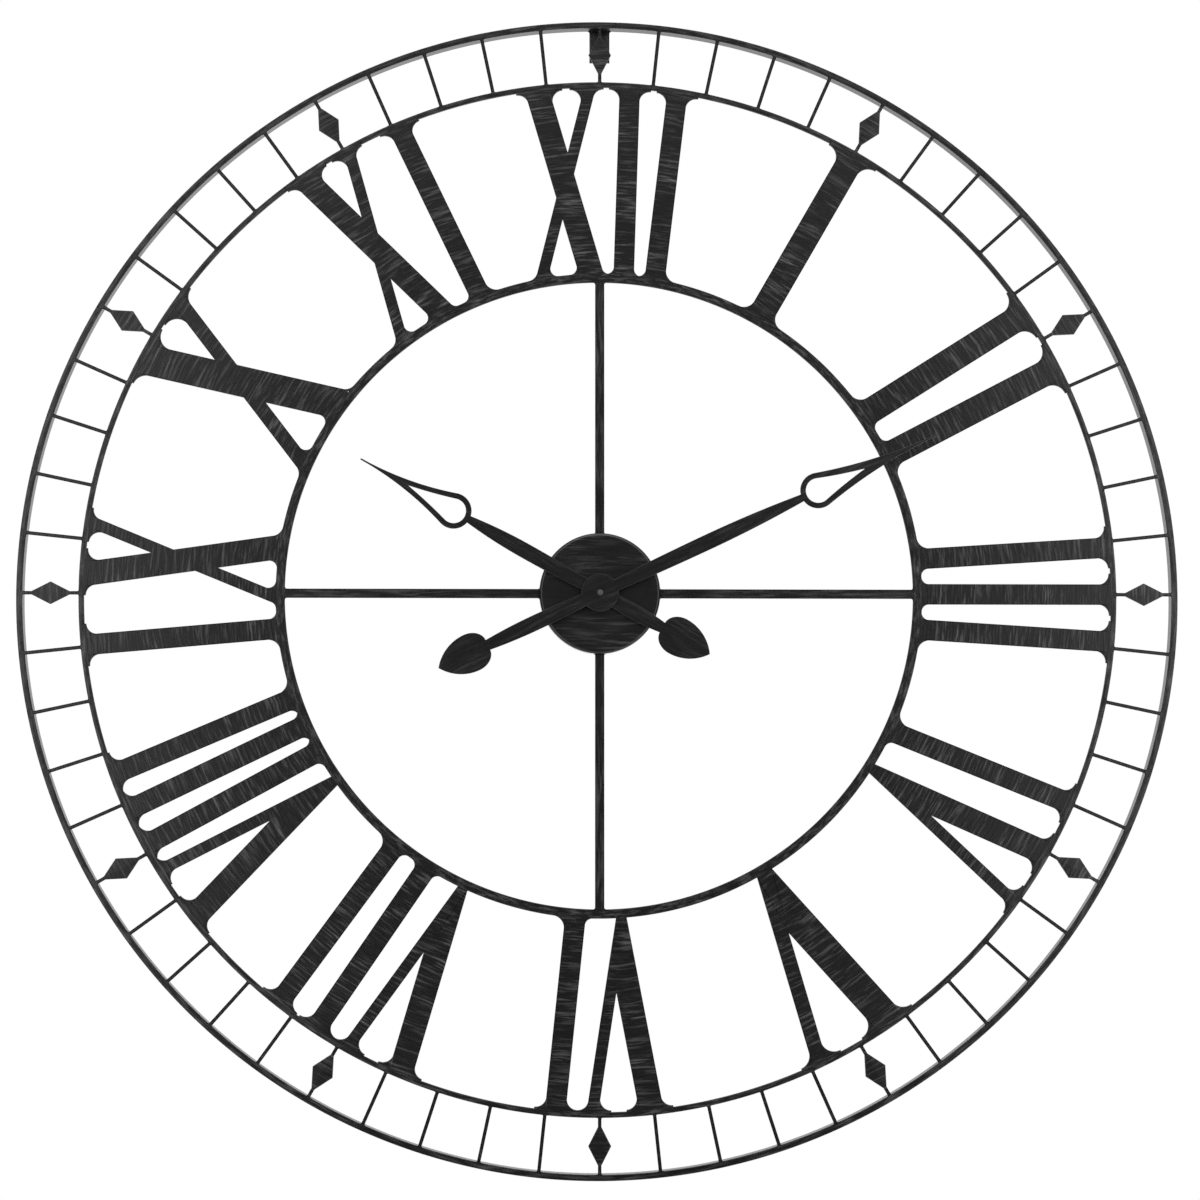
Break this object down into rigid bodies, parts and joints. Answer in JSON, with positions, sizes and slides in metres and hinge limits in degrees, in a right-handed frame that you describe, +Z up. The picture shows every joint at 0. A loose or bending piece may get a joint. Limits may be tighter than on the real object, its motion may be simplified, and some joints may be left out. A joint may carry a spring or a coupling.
{
  "type": "wall clock",
  "caption": "Large round skeleton wall clock in black steel, with open Roman numerals between hoops, spade hands and a battery movement in a cup at the centre.",
  "frame": {"origin": "centre of the dial on the wall plane, level with the rim's rear edge", "axes": "+Y into the wall, out of the clock's back; the dial faces -Y; +Z up through the numeral XII; +X to the right as the dial is read"},
  "size_m": [1.1998, 0.0352, 1.2],
  "materials": {
    "painted_steel": "black satin paint, dry brushed with dark silver",
    "painted_hand": "black satin paint",
    "case_plastic": "moulded, fine matt",
    "wheel_plastic": "moulded acetal",
    "brass": "turned and cut",
    "plated_steel": "nickel plated",
    "soft_iron": "stamped, annealed",
    "rubber": "moulded, matt",
    "board_resin": "solder resist",
    "chip_resin": "cast epoxy",
    "enamelled_copper": "wound enamelled wire",
    "battery_jacket": "printed film sleeve, plain"
  },
  "bodies": {
    "frame": {"rim_hoop": "painted_steel", "outer_dial_ring": "painted_steel", "inner_dial_ring": "painted_steel", "spoke_top": "painted_steel", "spoke_right": "painted_steel", "spoke_bottom": "painted_steel", "spoke_left": "painted_steel", "hub_cup": "painted_steel", "minute_ticks": "painted_steel", "hour_diamonds": "painted_steel", "numeral_one": "painted_steel", "numeral_two": "painted_steel", "numeral_three": "painted_steel", "numeral_four": "painted_steel", "numeral_five": "painted_steel", "numeral_six": "painted_steel", "numeral_seven": "painted_steel", "numeral_eight": "painted_steel", "numeral_nine": "painted_steel", "numeral_ten": "painted_steel", "numeral_eleven": "painted_steel", "numeral_twelve": "painted_steel", "hanger_plate": "painted_steel", "movement_case": "case_plastic", "movement_cover": "case_plastic", "middle_plate": "wheel_plastic", "coil_bobbin": "wheel_plastic", "mounting_bush": "brass", "brass_washer": "brass", "bush_nut": "brass", "cover_screws": "plated_steel", "plate_screws": "plated_steel", "quartz_can": "plated_steel", "positive_contact": "plated_steel", "negative_contact": "plated_steel", "stator": "soft_iron", "coil_core": "soft_iron", "rubber_washer": "rubber", "circuit_board": "board_resin", "driver_chip": "chip_resin", "coil_winding": "enamelled_copper"},
    "minute_hand": {"minute_hand": "painted_hand", "minute_collet": "brass", "minute_arbor": "brass", "centre_wheel": "brass"},
    "hour_hand": {"hour_hand": "painted_hand", "hour_collet": "brass", "hour_wheel": "wheel_plastic"},
    "minute_wheel": {"minute_wheel": "wheel_plastic", "setting_knob": "case_plastic"},
    "third_wheel": {"third_wheel": "brass"},
    "seconds_wheel": {"seconds_wheel": "brass"},
    "intermediate_wheel": {"intermediate_wheel": "wheel_plastic"},
    "rotor": {"rotor_pinion": "wheel_plastic", "rotor_magnet": "plated_steel"},
    "battery": {"battery": "battery_jacket"}
  },
  "joints": [
    {"name": "minute_hand_turn", "type": "hinge", "parent": "frame", "child": "minute_hand", "pos_m": [0, 0, 0], "axis": [0, 1, 0], "continuous": true},
    {"name": "hour_hand_turn", "type": "hinge", "parent": "frame", "child": "hour_hand", "pos_m": [0, 0, 0], "axis": [0, 1, 0], "continuous": true},
    {"name": "minute_wheel_turn", "type": "hinge", "parent": "frame", "child": "minute_wheel", "pos_m": [-0.012, 0, 0], "axis": [0, 1, 0], "continuous": true},
    {"name": "third_wheel_turn", "type": "hinge", "parent": "frame", "child": "third_wheel", "pos_m": [0.01086, 0, 0.00395], "axis": [0, 1, 0], "continuous": true},
    {"name": "seconds_wheel_turn", "type": "hinge", "parent": "frame", "child": "seconds_wheel", "pos_m": [0, 0, 0], "axis": [0, 1, 0], "continuous": true},
    {"name": "intermediate_wheel_turn", "type": "hinge", "parent": "frame", "child": "intermediate_wheel", "pos_m": [-0.0036, 0, 0.00624], "axis": [0, 1, 0], "continuous": true},
    {"name": "rotor_turn", "type": "hinge", "parent": "frame", "child": "rotor", "pos_m": [-0.0036, 0, 0.01324], "axis": [0, 1, 0], "continuous": true},
    {"name": "battery_lift", "type": "slide", "parent": "frame", "child": "battery", "axis": [0, 1, 0], "range_m": [0, 0.018]}
  ],
  "couplings": [
    {"joint": "hour_hand_turn", "follows": "minute_hand_turn", "ratio": 0.083333},
    {"joint": "minute_wheel_turn", "follows": "minute_hand_turn", "ratio": -0.33333},
    {"joint": "third_wheel_turn", "follows": "minute_hand_turn", "ratio": -7.5},
    {"joint": "seconds_wheel_turn", "follows": "minute_hand_turn", "ratio": 60},
    {"joint": "intermediate_wheel_turn", "follows": "minute_hand_turn", "ratio": -300},
    {"joint": "rotor_turn", "follows": "minute_hand_turn", "ratio": 1800}
  ]
}
